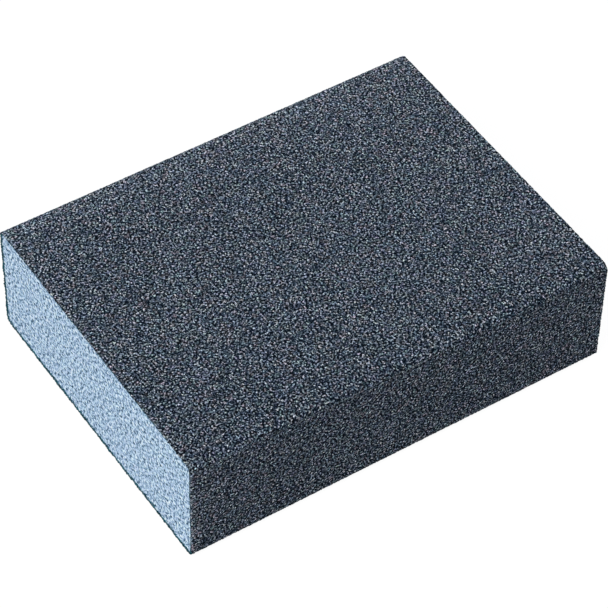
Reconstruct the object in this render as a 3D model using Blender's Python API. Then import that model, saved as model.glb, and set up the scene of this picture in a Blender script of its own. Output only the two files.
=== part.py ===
"""Foam sanding block: a rectangular foam core with an abrasive coat on its four long sides.

Length runs along X, width along Y (front at -Y) and thickness along Z. The origin is the centre
of the underside. Each long side carries an adhesive coat against the foam and a grit coat over
it. The top and bottom coats wrap round the rounded long edges, and the front and back coats
stand between them. Everything is cut off square at the two short ends, where the foam is bare.
"""

import math

import bmesh
import bpy
from mathutils import Vector

MM = 0.001

# Outer size of the block over its coats.
LENGTH = 100.0 * MM
WIDTH = 75.0 * MM
THICKNESS = 28.0 * MM

# Outer radius of the four long edges, and the facets in each quarter round.
EDGE_RADIUS = 1.8 * MM
ARC_STEPS = 12

# Build-up of one coated side, from the outside in. A bond gap lies on each side of the adhesive.
GRIT_COAT = 0.30 * MM
BOND_GAP = 0.02 * MM
ADHESIVE_COAT = 0.14 * MM

# Depth of each coat's outer and inner surface below the outer skin, and of the foam's surface.
GRIT_DEPTHS = (0.0, GRIT_COAT)
ADHESIVE_DEPTHS = (GRIT_COAT + BOND_GAP, GRIT_COAT + BOND_GAP + ADHESIVE_COAT)
FOAM_DEPTH = ADHESIVE_DEPTHS[1] + BOND_GAP

# Vertical clearance between the edge of a wrapped coat and the side coat next to it.
PANEL_GAP = 0.04 * MM

# How far the top face can be pressed down into the foam.
SQUEEZE_TRAVEL = 8.0 * MM

# Edges that bend more than this are shaded sharp.
SHARP_ANGLE = math.radians(30)


def clear_scene():
    for obj in list(bpy.data.objects):
        bpy.data.objects.remove(obj, do_unlink=True)


def material(name, colour, roughness):
    mat = bpy.data.materials.new(name)
    mat.use_nodes = True
    mat.diffuse_color = (*colour, 1.0)
    shader = mat.node_tree.nodes["Principled BSDF"]
    shader.inputs["Base Color"].default_value = (*colour, 1.0)
    shader.inputs["Roughness"].default_value = roughness
    return mat


# Cross-sections: lists of (y, z) points in the block's frame.


def upper_edge_arc(depth, side):
    """One upper long edge, from the side wall up to the flat top.

    side is +1 for the back edge and -1 for the front edge. The radius shrinks with depth, so that
    every layer is concentric with the outer skin.
    """
    radius = EDGE_RADIUS - depth
    centre_y = WIDTH / 2 - EDGE_RADIUS
    centre_z = THICKNESS - EDGE_RADIUS
    points = []
    for step in range(ARC_STEPS + 1):
        angle = math.pi / 2 * step / ARC_STEPS
        y = side * (centre_y + radius * math.cos(angle))
        z = centre_z + radius * math.sin(angle)
        points.append((y, z))
    return points


def over_the_top(depth):
    """The path of one layer surface from the front wall, over the top, to the back wall."""
    return upper_edge_arc(depth, side=-1) + upper_edge_arc(depth, side=1)[::-1]


def mirrored_z(section):
    """The section turned upside down about the middle of the thickness."""
    return [(y, THICKNESS - z) for y, z in section]


def mirrored_y(section):
    """The section swapped between back and front."""
    return [(-y, z) for y, z in section]


def core_section():
    """The foam: the rounded rectangle that is left inside the coats."""
    top = over_the_top(FOAM_DEPTH)
    return top + mirrored_z(top[::-1])


def wrapped_section(depths):
    """A coat over the top and both upper edges: a shallow channel, open downwards."""
    outer, inner = depths
    return over_the_top(outer) + over_the_top(inner)[::-1]


def back_section(depths):
    """A flat coat on the back, between the edges of the two wrapped coats."""
    outer, inner = (WIDTH / 2 - depth for depth in depths)
    low = EDGE_RADIUS + PANEL_GAP
    high = THICKNESS - low
    return [(outer, low), (outer, high), (inner, high), (inner, low)]


# Pieces.


def extruded(name, section, mat, parent=None):
    """A cross-section swept along the whole length.

    A piece with a parent takes the parent's origin as its own, so its mesh is shifted to suit.
    """
    origin = parent.location if parent else Vector((0.0, 0.0, 0.0))
    solid = bmesh.new()
    ring = [solid.verts.new(Vector((-LENGTH / 2, y, z)) - origin) for y, z in section]
    end_face = solid.faces.new(ring)
    swept = bmesh.ops.extrude_face_region(solid, geom=[end_face])
    far_verts = [item for item in swept["geom"] if isinstance(item, bmesh.types.BMVert)]
    bmesh.ops.translate(solid, verts=far_verts, vec=(LENGTH, 0.0, 0.0))
    bmesh.ops.recalc_face_normals(solid, faces=solid.faces)

    mesh = bpy.data.meshes.new(name)
    solid.to_mesh(mesh)
    solid.free()
    mesh.materials.append(mat)
    mesh.shade_smooth()
    mesh.set_sharp_from_angle(angle=SHARP_ANGLE)

    obj = bpy.data.objects.new(name, mesh)
    obj.parent = parent
    bpy.context.scene.collection.objects.link(obj)


def add_squeeze_axis():
    """The empty at the centre of the top, which carries the top coats straight down when pressed."""
    axis = bpy.data.objects.new("squeeze_axis", None)
    axis.empty_display_type = "SINGLE_ARROW"
    axis.empty_display_size = SQUEEZE_TRAVEL
    axis.location = (0.0, 0.0, THICKNESS)
    bpy.context.scene.collection.objects.link(axis)
    return axis


def add_coat(label, depths, mat, squeeze_axis):
    """One layer of coating on all four long sides."""
    wrapped = wrapped_section(depths)
    back = back_section(depths)
    extruded(f"{label}_top", wrapped, mat, parent=squeeze_axis)
    extruded(f"{label}_bottom", mirrored_z(wrapped), mat)
    extruded(f"{label}_front", mirrored_y(back), mat)
    extruded(f"{label}_back", back, mat)


def main():
    clear_scene()

    foam = material("foam", colour=(0.45, 0.60, 0.76), roughness=0.95)
    adhesive = material("adhesive", colour=(0.020, 0.045, 0.055), roughness=0.55)
    grit = material("grit", colour=(0.078, 0.094, 0.120), roughness=0.80)

    squeeze_axis = add_squeeze_axis()
    extruded("foam_core", core_section(), foam)
    add_coat("adhesive", ADHESIVE_DEPTHS, adhesive, squeeze_axis)
    add_coat("grit", GRIT_DEPTHS, grit, squeeze_axis)


main()
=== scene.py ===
"""A foam sanding block, coated with grit on its four long faces and with bare cut foam at both ends.

Its length lies along X (left is -X), its width along Y (front is -Y), and its underside is at
Z = 0. Sizes are in mm up to the point where a mesh is made. Lights and camera are in metres.
"""

import math
from types import SimpleNamespace

import bmesh
import bpy
import numpy as np
from mathutils import Matrix, Vector


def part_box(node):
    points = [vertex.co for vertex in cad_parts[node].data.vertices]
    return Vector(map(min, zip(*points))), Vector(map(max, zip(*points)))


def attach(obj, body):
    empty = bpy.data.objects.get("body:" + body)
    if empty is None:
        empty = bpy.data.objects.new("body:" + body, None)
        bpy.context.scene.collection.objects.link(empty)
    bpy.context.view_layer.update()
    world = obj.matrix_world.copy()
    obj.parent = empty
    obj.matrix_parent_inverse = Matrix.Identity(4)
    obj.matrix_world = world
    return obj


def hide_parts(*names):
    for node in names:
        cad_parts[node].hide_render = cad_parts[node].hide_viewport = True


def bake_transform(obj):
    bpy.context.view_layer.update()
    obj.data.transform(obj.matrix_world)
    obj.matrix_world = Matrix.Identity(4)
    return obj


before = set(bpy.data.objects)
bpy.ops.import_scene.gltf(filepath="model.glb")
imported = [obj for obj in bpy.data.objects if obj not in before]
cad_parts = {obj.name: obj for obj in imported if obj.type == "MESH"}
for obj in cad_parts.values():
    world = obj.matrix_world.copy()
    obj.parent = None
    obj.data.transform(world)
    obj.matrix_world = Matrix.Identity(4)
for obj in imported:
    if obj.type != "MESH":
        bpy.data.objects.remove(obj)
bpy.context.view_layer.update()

MM = 0.001


# ---------------------------------------------------------------- sizes, all read from the frame


def box_mm(node):
    low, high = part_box(node)
    return np.array(low) / MM, np.array(high) / MM


GRIT_LOW, GRIT_HIGH = box_mm("grit_top")
_, GLUE_HIGH = box_mm("adhesive_top")
FOAM_LOW, FOAM_HIGH = box_mm("foam_core")
SIDE_LOW, SIDE_HIGH = box_mm("grit_front")

HALF_LENGTH, HALF_WIDTH, HEIGHT = GRIT_HIGH
EDGE_RADIUS = HEIGHT - GRIT_LOW[2]
# depths below the outer skin
GRIT_DEPTH = SIDE_HIGH[1] - SIDE_LOW[1]
GLUE_DEPTH = HEIGHT - GLUE_HIGH[2]
FOAM_DEPTH = HEIGHT - FOAM_HIGH[2]

# The four long faces meet round quarter arcs. One lap of the outer skin starts at the foot of the
# front wall and goes up the front, over the top, down the back and under the bottom.
WALL = HEIGHT - 2 * EDGE_RADIUS
SPAN = 2 * (HALF_WIDTH - EDGE_RADIUS)
ARC = math.pi / 2 * EDGE_RADIUS
LAP = 2 * (WALL + SPAN) + 4 * ARC

# Where each coated face starts and stops on the lap. The wide faces take in both of their arcs.
FACES = {
    "front": (0.0, WALL),
    "top": (WALL, WALL + 2 * ARC + SPAN),
    "back": (WALL + 2 * ARC + SPAN, 2 * WALL + 2 * ARC + SPAN),
    "bottom": (2 * WALL + 2 * ARC + SPAN, LAP),
}
SEAM_GAP = 1e-6  # keeps the last point of a face off the start of the next one

GRAIN_STEP = 0.283  # spacing of the grit lattice
GLUE_STEP = 0.33  # spacing of the adhesive film points round the lap
FOAM_STEP = 0.215  # spacing of the lattice on the cut foam ends


# ---------------------------------------------------------------- numeric tools


def hashed(i, j, seed):
    """A repeatable random number in 0..1 for each pair of whole numbers."""
    # large primes spread the inputs, and the shifts stir the bits
    bits = (
        i.astype(np.int64) * 73856093
        ^ j.astype(np.int64) * 19349663
        ^ np.int64(seed * 83492791)
    ) & 0xFFFFFFFF
    for _ in range(2):
        bits = ((bits ^ (bits >> 16)) * 0x45D9F3B) & 0xFFFFFFFF
    bits = bits ^ (bits >> 16)
    return bits / float(0xFFFFFFFF)


def cells(across, up, size, seed, jitter=0.9):
    """Scattered cells over a plane.

    Gives the distance to the nearest centre, to the second, and a random number for the cell.
    """
    column, row = np.floor(across / size), np.floor(up / size)
    first = np.full(across.shape, 1e9)
    second = np.full(across.shape, 1e9)
    label = np.zeros(across.shape)
    for column_step in (-1, 0, 1):
        for row_step in (-1, 0, 1):
            i, j = column + column_step, row + row_step
            centre_across = (i + 0.5 + jitter * (hashed(i, j, seed) - 0.5)) * size
            centre_up = (j + 0.5 + jitter * (hashed(i, j, seed + 7) - 0.5)) * size
            distance = np.hypot(across - centre_across, up - centre_up)
            nearer = distance < first
            second = np.where(nearer, first, np.minimum(second, distance))
            label = np.where(nearer, hashed(i, j, seed + 13), label)
            first = np.where(nearer, distance, first)
    return first, second, label


def smooth_noise(across, up, size, seed):
    """Soft value noise in -1..1 with features of about the given size."""
    i, j = np.floor(across / size), np.floor(up / size)
    part_i, part_j = across / size - i, up / size - j
    part_i = part_i * part_i * (3 - 2 * part_i)
    part_j = part_j * part_j * (3 - 2 * part_j)
    low = hashed(i, j, seed) * (1 - part_i) + hashed(i + 1, j, seed) * part_i
    high = hashed(i, j + 1, seed) * (1 - part_i) + hashed(i + 1, j + 1, seed) * part_i
    return 2 * (low * (1 - part_j) + high * part_j) - 1


def soften(field, reach):
    """Blur of a lattice over the given number of lattice steps, wrapping at the borders."""
    rows = np.fft.fftfreq(field.shape[0])[:, None]
    columns = np.fft.rfftfreq(field.shape[1])[None, :]
    keep = np.exp(-2 * (math.pi * reach) ** 2 * (rows**2 + columns**2))
    return np.fft.irfft2(np.fft.rfft2(field) * keep, s=field.shape)


def bell(value, centre, width, gain):
    return gain * np.exp(-(((value - centre) / width) ** 2))


def fade(distance, reach, gain):
    return gain * np.exp(-distance / reach)


def unit_clip(value):
    return np.clip(value, 0, 1)


# ---------------------------------------------------------------- points on the skin, and meshes


def skin(lap, depth):
    """Points (y, z) at distance lap round the outer skin, sunk by depth."""
    lap = np.mod(lap, LAP)
    y, z = np.zeros(lap.shape), np.zeros(lap.shape)
    normal_y, normal_z = np.zeros(lap.shape), np.zeros(lap.shape)
    inner_y, inner_z = HALF_WIDTH - EDGE_RADIUS, HEIGHT - EDGE_RADIUS
    # flat: length, start, direction, outward normal
    # arc: length, centre, first angle, None
    course = (
        (WALL, (-HALF_WIDTH, EDGE_RADIUS), (0, 1), (-1, 0)),
        (ARC, (-inner_y, inner_z), math.pi, None),
        (SPAN, (-inner_y, HEIGHT), (1, 0), (0, 1)),
        (ARC, (inner_y, inner_z), math.pi / 2, None),
        (WALL, (HALF_WIDTH, inner_z), (0, -1), (1, 0)),
        (ARC, (inner_y, EDGE_RADIUS), 0.0, None),
        (SPAN, (inner_y, 0.0), (-1, 0), (0, -1)),
        (ARC, (-inner_y, EDGE_RADIUS), -math.pi / 2, None),
    )
    begin = 0.0
    for length, place, way, normal in course:
        here = (lap >= begin) & (lap < begin + length + 1e-9)
        gone = lap[here] - begin
        if normal:
            y[here] = place[0] + way[0] * gone
            z[here] = place[1] + way[1] * gone
            normal_y[here], normal_z[here] = normal
        else:
            angle = way - gone / EDGE_RADIUS
            normal_y[here], normal_z[here] = np.cos(angle), np.sin(angle)
            y[here] = place[0] + EDGE_RADIUS * np.cos(angle)
            z[here] = place[1] + EDGE_RADIUS * np.sin(angle)
        begin += length
    return y - normal_y * depth, z - normal_z * depth


def skin_points(x, lap, depth):
    return np.stack([x, *skin(lap, depth)], -1)


def face_levels(name, count):
    """Evenly spaced distances round the lap, from one border of a face to the other."""
    levels = np.linspace(*FACES[name], count)
    levels[-1] -= SEAM_GAP
    return levels


def split_quads(one, two, three, four, flip=False):
    """Two triangles for each quad one-two-three-four. Flip picks the diagonal from one to three."""
    flip = np.broadcast_to(flip, one.shape)[:, None]
    first = np.where(flip, np.stack([one, two, three], 1), np.stack([one, two, four], 1))
    other = np.where(flip, np.stack([one, three, four], 1), np.stack([two, three, four], 1))
    return np.concatenate([first, other])


def grid_corners(grid):
    """The four corners of each quad of a grid, taken in order round the quad."""
    return (
        grid[:-1, :-1].ravel(),
        grid[1:, :-1].ravel(),
        grid[1:, 1:].ravel(),
        grid[:-1, 1:].ravel(),
    )


def object_from(name, points_mm, triangles, smooth=False, attributes=None, material_index=None):
    mesh = bpy.data.meshes.new(name)
    mesh.from_pydata(np.asarray(points_mm, float) * MM, [], np.asarray(triangles, int))
    bm = bmesh.new()
    bm.from_mesh(mesh)
    bmesh.ops.recalc_face_normals(bm, faces=bm.faces)
    bm.to_mesh(mesh)
    bm.free()
    if smooth:
        mesh.shade_smooth()
    else:
        mesh.shade_flat()
    if material_index is not None:
        mesh.polygons.foreach_set("material_index", np.asarray(material_index, np.int32))
    for key, values in (attributes or {}).items():
        layer = mesh.attributes.new(key, "FLOAT", "POINT")
        layer.data.foreach_set("value", np.asarray(values, np.float32))
    obj = bpy.data.objects.new(name, mesh)
    bpy.context.scene.collection.objects.link(obj)
    return obj


# ---------------------------------------------------------------- grit relief, one lattice all round

DEEPEST_EDGE_SHADE = 0.115  # painted shade: tone taken from the grains round the bottom edges, under the block
FRONT_LIMIT = WALL + ARC / 2  # the front's tones reach halfway round the arcs beside it


def tear(lap, end):
    """How far the coat stops short of the cut at one end, or hangs over it where negative.

    The blade leaves by the bottom and the back, where it cuts cleanly, and it takes off the right
    end in one straight stroke. End is -1 for the left and 1 for the right.
    """
    clean = (lap > FACES["back"][0]) | (end > 0)
    on_top = (lap > FACES["top"][0]) & (lap < FACES["top"][1])
    wave = smooth_noise(lap, np.full_like(lap, 3.0 * end), size=0.62, seed=31)
    # the top coat is pushed out over the left end, as a burr
    setback = np.where(clean, 0.03, np.where(on_top, -0.10, 0.07))
    raggedness = np.where(clean, 0.03, 0.28)
    return setback + raggedness * wave


def edge_light_and_shade(lap):
    """Painted light and shade round the turns of the long edges.

    The foot of each turn has painted shade, the back top edge has more, and the bottom edges have
    the most, under the block. The upper part of the front top edge has a painted highlight instead.
    """
    top_start, top_stop = FACES["top"]
    bottom_start, bottom_stop = FACES["bottom"]
    # angles and widths in degrees from the border of the wide face
    # painted shade on the turns under the block
    under = {"centre": 44, "width": 26, "gain": -DEEPEST_EDGE_SHADE}
    turns = (
        # painted highlight high on the front top edge, then painted shade on the back top edge
        (lap - top_start, {"centre": 66, "width": 22, "gain": 0.052}),
        (top_stop - lap, {"centre": 38, "width": 20, "gain": -0.060}),
        (lap - bottom_start, under),
        (bottom_stop - lap, under),
    )
    tone = np.zeros(lap.shape)
    for distance, shade in turns:
        angle = np.degrees(distance / EDGE_RADIUS)
        tone += bell(angle, centre=8, width=16, gain=-0.030) + bell(angle, **shade)
    return tone


def painted_face_light(lap, x, on_front):
    """Painted light and shade over the top and the front."""
    start, stop = FACES["top"]
    on_top = (lap > start + ARC / 2) & (lap < stop)
    to_front = np.maximum(lap - start - ARC, 0)
    to_back = np.maximum(stop - ARC - lap, 0)
    to_right = np.maximum(HALF_LENGTH - x, 0)
    # painted light: the top is paler along the back and gains a little to the right; painted shade
    # darkens it along the front
    tone = on_top * (fade(to_back, reach=6.0, gain=0.062) - fade(to_front, reach=8.0, gain=0.036))
    tilt = 0.002 + 0.004 * x / HALF_LENGTH
    tone = tone + on_top * (tilt + fade(to_right, reach=4.0, gain=0.012))
    # painted light: the front is paler at its left end, the end nearer the key light
    tone = tone + on_front * fade(x + HALF_LENGTH, reach=9.0, gain=0.055)
    # painted shade darkens the foot of the front, next to the floor
    return tone - (lap < FRONT_LIMIT) * fade(np.maximum(lap, 0), reach=0.8, gain=0.055)


def cut_ends(rng, base_lap, x, depth):
    """Makes the cut at each short end slightly ragged, in place."""
    # first or last row, end, how ragged the line is, how deep the notches are
    for row, end, roughness, notching in ((0, -1, 0.16, 1.0), (-1, 1, 0.07, 0.25)):
        ragged = roughness * (rng.random(len(base_lap)) - 0.3) + tear(base_lap, end)
        x[:, row] = end * (HALF_LENGTH - ragged)
        # the next row stays inside the cut
        beside = x[:, row - end]
        beside[:] = end * np.minimum(np.abs(beside), np.abs(x[:, row]) - 0.05)
        end_line = np.full_like(base_lap, 5.0 * end)
        nick = 0.5 + 0.5 * smooth_noise(base_lap, end_line, size=1.3, seed=37)
        notch = 0.36 * unit_clip(nick - 0.55) - 0.20 * unit_clip(0.55 - nick)
        depth[:, row] += notching * notch + 0.08 * (rng.random(len(base_lap)) - 0.5)


def grit_lattice():
    """Grain points over the whole lap, so that neighbouring faces share their seam exactly."""
    rng = np.random.default_rng(20641)
    columns = {}
    lap_values = []
    for name, (start, stop) in FACES.items():
        count = int(round((stop - start) / GRAIN_STEP))
        columns[name] = (len(lap_values), count)
        lap_values += [start + (stop - start) * k / count for k in range(count)]
    base_lap = np.array(lap_values)
    rows = int(round(2 * HALF_LENGTH / GRAIN_STEP)) + 1
    lap, x = np.meshgrid(base_lap, np.linspace(-HALF_LENGTH, HALF_LENGTH, rows), indexing="ij")

    # every point wanders inside its own patch, so that no lattice shows
    wander = 0.34 * GRAIN_STEP
    lap = lap + rng.uniform(-wander, wander, lap.shape)
    x = x + rng.uniform(-wander, wander, x.shape)

    # tall and short grains, packed so that a low one sits next to a high one, over uneven foam. The
    # same value sets each grain's tone, and the low ones are darker, partly painted shade in the
    # pits
    loose = rng.random(lap.shape)
    grain = unit_clip(0.5 + 1.22 * (loose - soften(loose, reach=0.95)))
    swell = smooth_noise(lap, x, size=7.0, seed=23)
    swell = swell + 0.5 * smooth_noise(lap, x, size=3.1, seed=29)
    depth = 0.120 - 0.190 * grain - 0.010 * swell
    depth = np.clip(depth, -0.10, 0.20)

    on_front = (lap < FRONT_LIMIT) | (lap > LAP - ARC / 2)
    # painted light and shade round the edges, and over the top and the front
    turn = edge_light_and_shade(lap)
    face_shading = painted_face_light(lap, x, on_front)

    cut_ends(rng, base_lap, x, depth)
    overhang = 0.25
    x = np.clip(x, -HALF_LENGTH - overhang, HALF_LENGTH + overhang)
    flip = rng.random(lap.shape) < 0.5

    # tones vary a little more on the front
    grain = grain + on_front * (0.10 * (grain - 0.5) - 0.0075)
    # the painted shade of the turns, and the right end, take a faint green-blue hue
    resin = unit_clip(-turn / DEEPEST_EDGE_SHADE) + 0.8 * unit_clip(1 - (HALF_LENGTH - x) / 0.5)
    return SimpleNamespace(
        columns=columns,
        lap=lap,
        x=x,
        depth=depth,
        tone=grain + turn + face_shading,
        resin=unit_clip(resin),
        flip=flip,
    )


def end_tone(name, x):
    """A painted highlight runs along the cut ends, where the edge grains catch the light, most of
    all on the narrow faces.

    The right end of the top and the front is darker instead.
    """
    reach, gain = (0.8, 0.18) if name in ("front", "back") else (1.5, 0.05)
    from_end = HALF_LENGTH - np.abs(x)
    highlight_and_dark_end = gain * unit_clip(1 - from_end / reach)
    if name in ("front", "top"):
        highlight_and_dark_end = np.where(x > 0, -0.10 * unit_clip(1 - from_end / 0.6), highlight_and_dark_end)
    return highlight_and_dark_end


def grit_face(name, lattice):
    first, count = lattice.columns[name]
    take = [(first + k) % len(lattice.lap) for k in range(count + 1)]
    x = lattice.x[take]
    outer = skin_points(x, lattice.lap[take], lattice.depth[take])
    n_lap, n_x = x.shape
    relief = np.arange(n_lap * n_x).reshape(n_lap, n_x)

    # underside of the coat: one long strip for each column, closed to the relief at both ends
    levels = face_levels(name, n_lap)
    end_x = np.full(n_lap, HALF_LENGTH - 0.04)
    under_left = skin_points(-end_x, levels, GRIT_DEPTH)
    under_right = skin_points(end_x, levels, GRIT_DEPTH)
    left = n_lap * n_x + np.arange(n_lap)
    right = left + n_lap
    coat = [
        split_quads(*grid_corners(relief), lattice.flip[take][:-1, :-1].ravel()),
        split_quads(left[:-1], right[:-1], right[1:], left[1:]),
    ]
    ends = [
        split_quads(relief[:-1, 0], left[:-1], left[1:], relief[1:, 0]),
        split_quads(relief[:-1, -1], relief[1:, -1], right[1:], right[:-1]),
    ]
    # fans close the two long borders of the face
    fans = []
    half = n_x // 2
    for border in (0, -1):
        chain, low, high = relief[border], left[border], right[border]
        fan = [(low, chain[k], chain[k + 1]) for k in range(half)]
        fan.append((low, chain[half], high))
        fan += [(high, chain[k], chain[k + 1]) for k in range(half, n_x - 1)]
        fans.append(np.array(fan))

    bright = lattice.tone[take] + end_tone(name, x)
    tone = np.concatenate([bright.ravel(), np.full(2 * n_lap, 0.60)])
    resin = np.concatenate([lattice.resin[take].ravel(), np.zeros(2 * n_lap)])
    # the blade leaves resin over the cut of the two faces it comes out by
    smeared = name in ("bottom", "back")
    slots = [
        np.full(len(part), smeared and group is ends)
        for group in (coat, ends, fans)
        for part in group
    ]
    return object_from(
        f"grit_coat_{name}",
        np.concatenate([outer.reshape(-1, 3), under_left, under_right]),
        np.concatenate(coat + ends + fans),
        attributes={"grain": tone, "resin": resin},
        material_index=np.concatenate(slots),
    )


# ---------------------------------------------------------------- adhesive film

# Random seed, and how far the blade drags adhesive over the foam: more where it comes out.
GLUE_SMEAR = {"front": (1, 0.05), "top": (2, 0.34), "back": (3, 0.32), "bottom": (4, 0.62)}


def glue_face(name):
    """The dark adhesive film between grit and foam. Only its edge shows, at the cut ends."""
    seed, smear = GLUE_SMEAR[name]
    rng = np.random.default_rng(seed)
    start, stop = FACES[name]
    n_lap = int(round((stop - start) / GLUE_STEP)) + 1
    levels = face_levels(name, n_lap)
    outer, inner = [], []
    for station in (-1.0, -0.988, 0.988, 1.0):
        pull = soak = np.zeros(n_lap)
        if abs(station) == 1.0:
            pull = rng.uniform(0.01, 0.08, n_lap) + np.maximum(tear(levels, station), 0)
            soak = smear * rng.random(n_lap) ** 1.6
        x = station * HALF_LENGTH - np.sign(station) * pull
        outer.append(skin_points(x, levels, GLUE_DEPTH))
        inner.append(skin_points(x, levels, FOAM_DEPTH - 0.01 + soak))
    outer, inner = np.stack(outer, 1), np.stack(inner, 1)
    n_points = n_lap * outer.shape[1]
    over = np.arange(n_points).reshape(n_lap, -1)
    under = over + n_points
    triangles = [split_quads(*grid_corners(grid)) for grid in (over, under)]
    for end in (0, -1):
        triangles += [
            split_quads(over[:-1, end], over[1:, end], under[1:, end], under[:-1, end]),
            split_quads(over[end, :-1], over[end, 1:], under[end, 1:], under[end, :-1]),
        ]
    points = np.concatenate([outer.reshape(-1, 3), inner.reshape(-1, 3)])
    return object_from(f"adhesive_film_{name}", points, np.concatenate(triangles), smooth=True)


# ---------------------------------------------------------------- foam block with its cut cells


def open_cells(y, z, size, wall, seed):
    """Depth 0..1 of cut cells, a little taller than wide, between walls of the given thickness."""
    first, second, label = cells(1.35 * y, 0.85 * z, size, seed)
    return unit_clip((second - first) / wall) * (0.30 + 0.70 * label)


def foam_end(rng, seed, y, z, inside):
    """Pit of each point of one cut end, 0..1, and how far it is sunk. Inside is 0 at the rim."""
    pit = 0.50 * open_cells(y, z, size=0.54, wall=0.27, seed=seed)
    pit = pit + 0.28 * open_cells(y, z, size=0.38, wall=0.21, seed=seed + 50)
    pit = pit + 0.08 * rng.random(y.shape)
    # the cells are spread evenly: no part of the face is pitted more than another
    pit = unit_clip(0.449 + 1.74 * (soften(pit, reach=0.5) - soften(pit, reach=2.6)))
    swell = smooth_noise(y, z, size=5.0, seed=seed + 3)
    swell = swell + 0.6 * smooth_noise(y, z, size=1.7, seed=seed + 5)
    sink = (0.26 * pit + 0.05 * rng.random(y.shape)) * (0.35 + 0.65 * inside)
    return pit, sink + 0.03 * (1 + swell / 1.6) * inside


def foam_block():
    half_y, low_z, high_z = FOAM_HIGH[1], FOAM_LOW[2], FOAM_HIGH[2]
    radius = EDGE_RADIUS - FOAM_DEPTH
    steps = 10  # levels in each rounded corner
    bend = [radius * (1 - math.cos(math.pi / 2 * k / steps)) for k in range(steps)]
    flat = high_z - low_z - 2 * radius
    n_flat = int(round(flat / FOAM_STEP))
    levels = np.array(
        [low_z + rise for rise in bend]
        + [low_z + radius + flat * k / n_flat for k in range(n_flat + 1)]
        + [high_z - rise for rise in reversed(bend)]
    )
    drop = np.maximum(0, radius - np.minimum(levels - low_z, high_z - levels))
    half = (half_y - radius + np.sqrt(np.maximum(radius**2 - drop**2, 0)))[:, None]
    n_y = int(round(2 * half_y / FOAM_STEP)) + 1
    n_z = len(levels)
    z = np.repeat(levels[:, None], n_y, 1)
    y = half * np.linspace(-1, 1, n_y)[None, :]

    # distance in from the outline of the cut face, used to hold the rim still and to stain it
    rim = np.minimum(np.minimum(z - low_z, high_z - z), half - np.abs(y))
    corner_y = np.abs(y) - (half_y - radius)
    corner_z = np.abs(z - (low_z + high_z) / 2) - ((high_z - low_z) / 2 - radius)
    in_corner = (corner_y > 0) & (corner_z > 0)
    rim = np.where(in_corner, radius - np.hypot(corner_y, corner_z), rim)
    rim = np.maximum(rim, 0)
    # the stain is a little narrower near the top and the front
    top_or_front = np.minimum(high_z - z, half + y) < np.minimum(z - low_z, half - y)
    stain_rim = (rim + 0.05 * top_or_front).ravel()
    inside = unit_clip(rim / 0.25)

    points, triangles, pits, rings = [], [], [], []
    for side, seed in ((-1, 101), (1, 202)):
        rng = np.random.default_rng(seed)
        moved_y = y + rng.uniform(-0.3, 0.3, y.shape) * FOAM_STEP * inside
        moved_z = z + rng.uniform(-0.3, 0.3, y.shape) * FOAM_STEP * inside
        pit, sink = foam_end(rng, seed, moved_y, moved_z, inside)
        grid = len(points) * y.size + np.arange(y.size).reshape(n_z, n_y)
        points.append(np.stack([side * (HALF_LENGTH - sink), moved_y, moved_z], -1).reshape(-1, 3))
        pits.append(pit.ravel())
        corner, above, across, beside = grid_corners(grid)
        flip = rng.random((n_z - 1) * (n_y - 1)) < 0.5
        triangles.append(split_quads(corner, beside, across, above, flip))
        rings.append(
            np.concatenate([grid[0, :-1], grid[:-1, -1], grid[-1, :0:-1], grid[:0:-1, 0]])
        )
    # the long skin between the two ends
    near, far = rings
    triangles.append(split_quads(near, far, np.roll(far, -1), np.roll(near, -1)))
    return object_from(
        "foam_block",
        np.concatenate(points),
        np.concatenate(triangles),
        attributes={"pit": np.concatenate(pits), "rim": np.tile(stain_rim, 2)},
    )


# ---------------------------------------------------------------- materials


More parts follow.
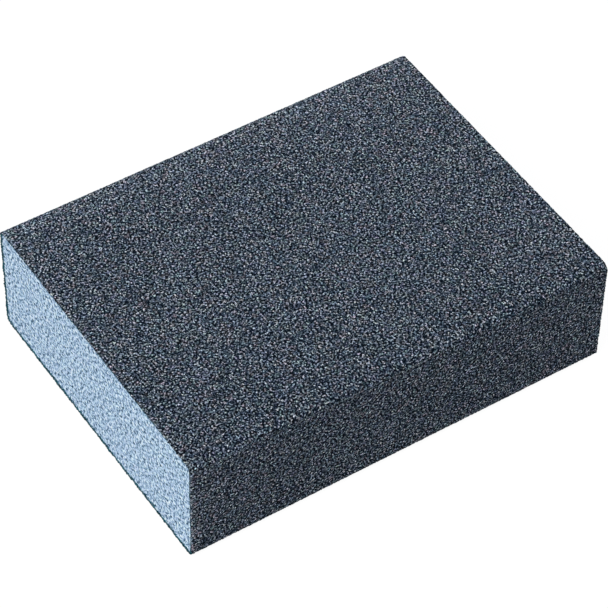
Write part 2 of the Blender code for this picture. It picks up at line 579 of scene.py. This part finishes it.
class Nodes:
    """A short way to write a node tree."""

    def __init__(self, name):
        self.material = bpy.data.materials.new(name)
        self.material.use_nodes = True
        self.tree = self.material.node_tree
        self.principled = self.tree.nodes["Principled BSDF"]

    def new(self, kind, **settings):
        node = self.tree.nodes.new(kind)
        for key, value in settings.items():
            setattr(node, key, value)
        return node

    def put(self, socket, value):
        """Links a socket to the input, or sets the input to a plain value."""
        if isinstance(value, bpy.types.NodeSocket):
            self.tree.links.new(value, socket)
        else:
            socket.default_value = value

    def shade(self, **inputs):
        """Sets inputs of the Principled shader, with _ for each space in their names."""
        for key, value in inputs.items():
            self.put(self.principled.inputs[key.replace("_", " ")], value)

    def math(self, operation, left, right, clamp=False):
        node = self.new("ShaderNodeMath", operation=operation, use_clamp=clamp)
        self.put(node.inputs[0], left)
        self.put(node.inputs[1], right)
        return node.outputs[0]

    def plus(self, left, right):
        return self.math("ADD", left, right)

    def times(self, left, right):
        return self.math("MULTIPLY", left, right)

    def mix(self, factor, first, second, blend="MIX"):
        node = self.new("ShaderNodeMix", data_type="RGBA", blend_type=blend)
        self.put(node.inputs[0], factor)
        self.put(node.inputs[6], first)
        self.put(node.inputs[7], second)
        return node.outputs[2]

    def filtered(self, first, second):
        return self.mix(1.0, first, second, "MULTIPLY")

    def tinted(self, colour, random, spread, base):
        """Colour multiplied by base plus a random share of spread."""
        tint = self.mix(1.0, self.filtered(random, (*spread, 1.0)), (*base, 1.0), "ADD")
        return self.filtered(colour, tint)

    def ramp(self, factor, *stops):
        """Colour ramp. A stop is (position, colour or grey level)."""
        node = self.new("ShaderNodeValToRGB")
        stops = [
            (place, (*(tone if isinstance(tone, tuple) else (tone,) * 3), 1))
            for place, tone in stops
        ]
        elements = node.color_ramp.elements
        elements[0].position, elements[0].color = stops[0]
        elements[1].position, elements[1].color = stops[-1]
        for place, colour in stops[1:-1]:
            elements.new(place).color = colour
        self.put(node.inputs[0], factor)
        return node.outputs[0]

    def voronoi(self, vector, size_mm):
        node = self.new("ShaderNodeTexVoronoi")
        node.inputs["Scale"].default_value = 1 / (size_mm * MM)
        self.put(node.inputs["Vector"], vector)
        return node.outputs

    def noise(self, vector, size_mm, detail=2.0, roughness=0.5):
        node = self.new("ShaderNodeTexNoise")
        node.inputs["Scale"].default_value = 1 / (size_mm * MM)
        node.inputs["Detail"].default_value = detail
        node.inputs["Roughness"].default_value = roughness
        self.put(node.inputs["Vector"], vector)
        return node.outputs["Fac"]

    def channels(self, colour):
        node = self.new("ShaderNodeSeparateColor")
        self.put(node.inputs[0], colour)
        return node.outputs

    def object_vector(self):
        return self.new("ShaderNodeTexCoord").outputs["Object"]

    def attribute(self, name):
        return self.new(
            "ShaderNodeAttribute", attribute_type="GEOMETRY", attribute_name=name
        ).outputs["Fac"]

    def bump(self, height, strength, distance_mm, after=None):
        node = self.new("ShaderNodeBump")
        node.inputs["Strength"].default_value = strength
        node.inputs["Distance"].default_value = distance_mm * MM
        self.put(node.inputs["Height"], height)
        if after is not None:
            self.put(node.inputs["Normal"], after)
        return node.outputs[0]


def grit_material():
    nodes = Nodes("abrasive_grit")
    where = nodes.object_vector()
    big = nodes.voronoi(where, size_mm=0.34)
    small = nodes.voronoi(where, size_mm=0.19)
    big_random = nodes.channels(big["Color"])
    small_random = nodes.channels(small["Color"])

    # each grain takes one tone, brightest at its crown and dark down its flanks, with black pits,
    # blue-grey body grains and bright chips. The tones are partly the grains' own colours and partly
    # painted shade in the pits and down the flanks
    crown = nodes.math("SUBTRACT", 0.92, big["Distance"], clamp=True)
    crown = nodes.times(crown, nodes.plus(nodes.times(big_random[0], 0.55), 0.47))
    # the tone from the lattice also brings the painted light and shade of the edges, of the top and
    # front, and of the cut ends
    tone = nodes.plus(nodes.times(nodes.attribute("grain"), 0.50), nodes.times(crown, 0.52))
    tone = nodes.plus(tone, nodes.times(small_random[0], 0.12))
    body = nodes.ramp(
        tone,
        (0.190, (0.0002, 0.0014, 0.0048)),
        (0.365, (0.0013, 0.0052, 0.0128)),
        (0.464, (0.0189, 0.0322, 0.0545)),
        (0.556, (0.080, 0.104, 0.148)),
        (0.682, (0.290, 0.343, 0.434)),
        (0.835, (0.840, 0.885, 0.985)),
    )
    warm = nodes.ramp(
        tone,
        (0.190, (0.0008, 0.0012, 0.0024)),
        (0.365, (0.0038, 0.0062, 0.0092)),
        (0.464, (0.0348, 0.0412, 0.0500)),
        (0.556, (0.116, 0.126, 0.141)),
        (0.682, (0.346, 0.358, 0.387)),
        (0.835, (0.885, 0.885, 0.930)),
    )
    # grains differ a little in hue, from teal to plum, in small clusters, and some are warm
    cluster = nodes.voronoi(where, size_mm=0.80)["Color"]
    is_warm = nodes.math("GREATER_THAN", nodes.channels(cluster)[2], 0.82)
    colour = nodes.mix(is_warm, body, warm)
    colour = nodes.tinted(colour, cluster, spread=(0.25, 0.15, 0.24), base=(0.845, 0.922, 0.872))

    # the painted shade at the turns of the long edges, and the right end, is faintly green-blue
    resin = nodes.times(nodes.attribute("resin"), 0.28)
    colour = nodes.mix(resin, colour, nodes.filtered(colour, (0.35, 1.02, 0.98, 1.0)))

    # slow drift of tone over the face
    drift = nodes.ramp(nodes.noise(where, size_mm=9.0), (0.30, 0.985), (0.70, 1.015))
    nodes.shade(
        Base_Color=nodes.filtered(colour, drift),
        Roughness=nodes.ramp(small_random[1], (0.0, 0.85), (0.75, 0.62), (1.0, 0.30)),
        # pits are dull resin, and only the bare bright chips shine
        Specular_IOR_Level=nodes.ramp(tone, (0.40, 0.04), (0.60, 0.22), (0.80, 0.60)),
    )
    rise = nodes.math("SUBTRACT", 1.0, small["Distance"])
    grains = nodes.bump(rise, strength=0.45, distance_mm=0.08)
    fine = nodes.noise(where, size_mm=0.09)
    nodes.shade(Normal=nodes.bump(fine, strength=0.25, distance_mm=0.03, after=grains))
    return nodes.material


def glue_material():
    nodes = Nodes("cured_adhesive")
    where = nodes.object_vector()
    cloud = nodes.noise(where, size_mm=0.9, detail=3.0)
    colour = nodes.ramp(
        cloud,
        (0.36, (0.0010, 0.024, 0.033)),
        (0.50, (0.004, 0.074, 0.100)),
        (0.64, (0.010, 0.126, 0.162)),
    )
    lumps = nodes.noise(where, size_mm=0.22)
    nodes.shade(
        Base_Color=colour,
        Roughness=nodes.ramp(cloud, (0.3, 0.55), (0.7, 0.75)),
        Specular_IOR_Level=0.05,
        Normal=nodes.bump(lumps, strength=0.4, distance_mm=0.05),
    )
    return nodes.material


def foam_material():
    nodes = Nodes("open_cell_foam")
    where = nodes.object_vector()
    # the cells stand a little taller than they are wide
    stretch = nodes.new("ShaderNodeVectorMath", operation="MULTIPLY")
    stretch.inputs[1].default_value = (1.0, 1.3, 0.85)
    nodes.put(stretch.inputs[0], where)
    tall = stretch.outputs[0]
    cell = nodes.channels(nodes.voronoi(tall, size_mm=0.40)["Color"])[0]
    mottle = nodes.noise(tall, size_mm=0.40, detail=1.0)
    # pale walls, dark pits: the dark of the pits is painted shade inside the cut cells
    level = nodes.plus(
        nodes.times(nodes.attribute("pit"), 0.80),
        nodes.plus(nodes.times(cell, 0.12), nodes.times(mottle, 0.12)),
    )
    colour = nodes.ramp(
        level,
        (0.27, (0.870, 0.965, 1.000)),
        (0.35, (0.742, 0.904, 1.000)),
        (0.42, (0.530, 0.711, 0.930)),
        (0.50, (0.286, 0.431, 0.618)),
        (0.58, (0.095, 0.188, 0.299)),
        (0.70, (0.006, 0.034, 0.062)),
    )
    drift = nodes.ramp(nodes.noise(where, size_mm=6.0), (0.3, 0.98), (0.7, 1.02))
    colour = nodes.filtered(colour, drift)
    patches = nodes.voronoi(where, size_mm=0.62)["Color"]
    colour = nodes.tinted(colour, patches, spread=(0.05, 0.07, 0.03), base=(0.975, 0.965, 0.985))

    # adhesive soaked into the first cells along the outline of the cut: a ragged line with clots
    ragged = nodes.times(nodes.noise(where, size_mm=0.8, detail=3.0, roughness=0.65), 0.62)
    clot_noise = nodes.noise(where, size_mm=1.1, detail=1.0)
    clot = nodes.math("SUBTRACT", clot_noise, 0.60, clamp=True)
    reach = nodes.plus(nodes.math("SUBTRACT", ragged, 0.09), nodes.times(clot, 4.0))
    past = nodes.math("SUBTRACT", nodes.attribute("rim"), reach)
    stain = nodes.times(nodes.ramp(past, (0.0, 1.0), (0.16, 0.0)), 0.9)
    fine = nodes.noise(where, size_mm=0.16, detail=3.0, roughness=0.6)
    nodes.shade(
        Base_Color=nodes.mix(stain, colour, (0.004, 0.064, 0.088, 1.0)),
        Roughness=0.95,
        Specular_IOR_Level=0.20,
        Sheen_Weight=0.05,
        Sheen_Roughness=0.6,
        Normal=nodes.bump(fine, strength=0.5, distance_mm=0.05),
    )
    return nodes.material


# ---------------------------------------------------------------- the pieces

GRIT = grit_material()
GLUE = glue_material()
FOAM = foam_material()


def place_piece(piece, node, materials, face=None):
    """Gives a piece its materials and its part in the frame."""
    for material in materials:
        piece.data.materials.append(material)
    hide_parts(node)
    if face == "top":
        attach(piece, "top")
    elif face == "bottom":
        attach(piece, "base")
    else:
        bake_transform(piece)


lattice = grit_lattice()
for face in ("top", "bottom", "front", "back"):
    coat = grit_face(face, lattice)
    film = glue_face(face)
    place_piece(coat, f"grit_{face}", (GRIT, GLUE), face)
    place_piece(film, f"adhesive_{face}", (GLUE,), face)
place_piece(foam_block(), "foam_core", (FOAM,))


# ---------------------------------------------------------------- floor, lights, world and camera


def floor_material():
    """Bright and almost shadowless to the camera, but it bounces light like grey paper."""
    nodes = Nodes("studio_floor")
    nodes.shade(Base_Color=(0.35, 0.35, 0.35, 1), Roughness=0.9, Specular_IOR_Level=0.0)
    seen = nodes.new("ShaderNodeBsdfDiffuse")
    seen.inputs["Color"].default_value = (0.08, 0.08, 0.08, 1)
    glow = nodes.new("ShaderNodeEmission")
    glow.inputs["Strength"].default_value = 0.95
    both = nodes.new("ShaderNodeAddShader")
    nodes.put(both.inputs[0], seen.outputs[0])
    nodes.put(both.inputs[1], glow.outputs[0])
    path = nodes.new("ShaderNodeLightPath")
    choose = nodes.new("ShaderNodeMixShader")
    nodes.put(choose.inputs[0], path.outputs["Is Camera Ray"])
    nodes.put(choose.inputs[1], nodes.principled.outputs[0])
    nodes.put(choose.inputs[2], both.outputs[0])
    output = nodes.tree.nodes["Material Output"]
    nodes.put(output.inputs["Surface"], choose.outputs[0])
    return nodes.material


def floor(half_size, drop_mm):
    """A plain white square just below the block."""
    material = floor_material()
    mesh = bpy.data.meshes.new("studio_floor")
    corners = [(i * half_size, j * half_size, 0) for i, j in ((-1, -1), (1, -1), (1, 1), (-1, 1))]
    mesh.from_pydata(corners, [], [(0, 1, 2, 3)])
    obj = bpy.data.objects.new("studio_floor", mesh)
    obj.location.z = -drop_mm * MM
    bpy.context.scene.collection.objects.link(obj)
    mesh.materials.append(material)


def area_light(name, place, size, watts):
    """A round light aimed at the middle of the block."""
    data = bpy.data.lights.new(name, "AREA")
    data.shape = "DISK"
    data.size = size
    data.energy = watts
    obj = bpy.data.objects.new(name, data)
    obj.location = place
    aim = Vector((0.0, 0.0, HEIGHT * MM / 2)) - Vector(place)
    obj.rotation_euler = aim.to_track_quat("-Z", "Y").to_euler()
    bpy.context.scene.collection.objects.link(obj)


def white_world(light, seen):
    """A white world with one strength as a light and another as seen by the camera."""
    world = bpy.data.worlds.new("studio")
    world.use_nodes = True
    tree = world.node_tree
    sky = tree.nodes["Background"]
    sky.inputs["Color"].default_value = (1.0, 1.0, 1.0, 1)
    path = tree.nodes.new("ShaderNodeLightPath")
    strength = tree.nodes.new("ShaderNodeMapRange")
    strength.inputs["To Min"].default_value = light
    strength.inputs["To Max"].default_value = seen
    tree.links.new(path.outputs["Is Camera Ray"], strength.inputs["Value"])
    tree.links.new(strength.outputs["Result"], sky.inputs["Strength"])
    bpy.context.scene.world = world


def add_camera(place, right, up, lens):
    """A camera at a place, turned so that its own X and Y axes point right and up."""
    data = bpy.data.cameras.new("camera")
    data.sensor_fit = "HORIZONTAL"
    data.sensor_width = 36.0
    data.lens = lens
    data.clip_start = 0.01
    data.clip_end = 50.0
    camera = bpy.data.objects.new("camera", data)
    back = right.cross(up).normalized()
    turn = Matrix((right, up, back)).transposed().to_4x4()
    camera.matrix_world = Matrix.Translation(place) @ turn
    bpy.context.scene.collection.objects.link(camera)
    bpy.context.scene.camera = camera


floor(half_size=6.0, drop_mm=0.20)
area_light("key", place=(-0.852, -0.292, 0.995), size=0.7, watts=13.9)
# a low fill behind and to the right keeps the far end and the back out of the dark
area_light("fill", place=(0.95, 0.55, 0.14), size=0.24, watts=6.0)
white_world(light=0.42, seen=1.0)

view = bpy.context.scene.view_settings
view.view_transform = "Standard"
view.look = "None"
view.exposure = 0.0
view.gamma = 1.0

add_camera(
    place=Vector((-0.234097, -0.348557, 0.472731)),
    right=Vector((0.838782, -0.544246, 0.015535)),
    up=Vector((0.394094, 0.626563, 0.672390)),
    lens=176.947,
)
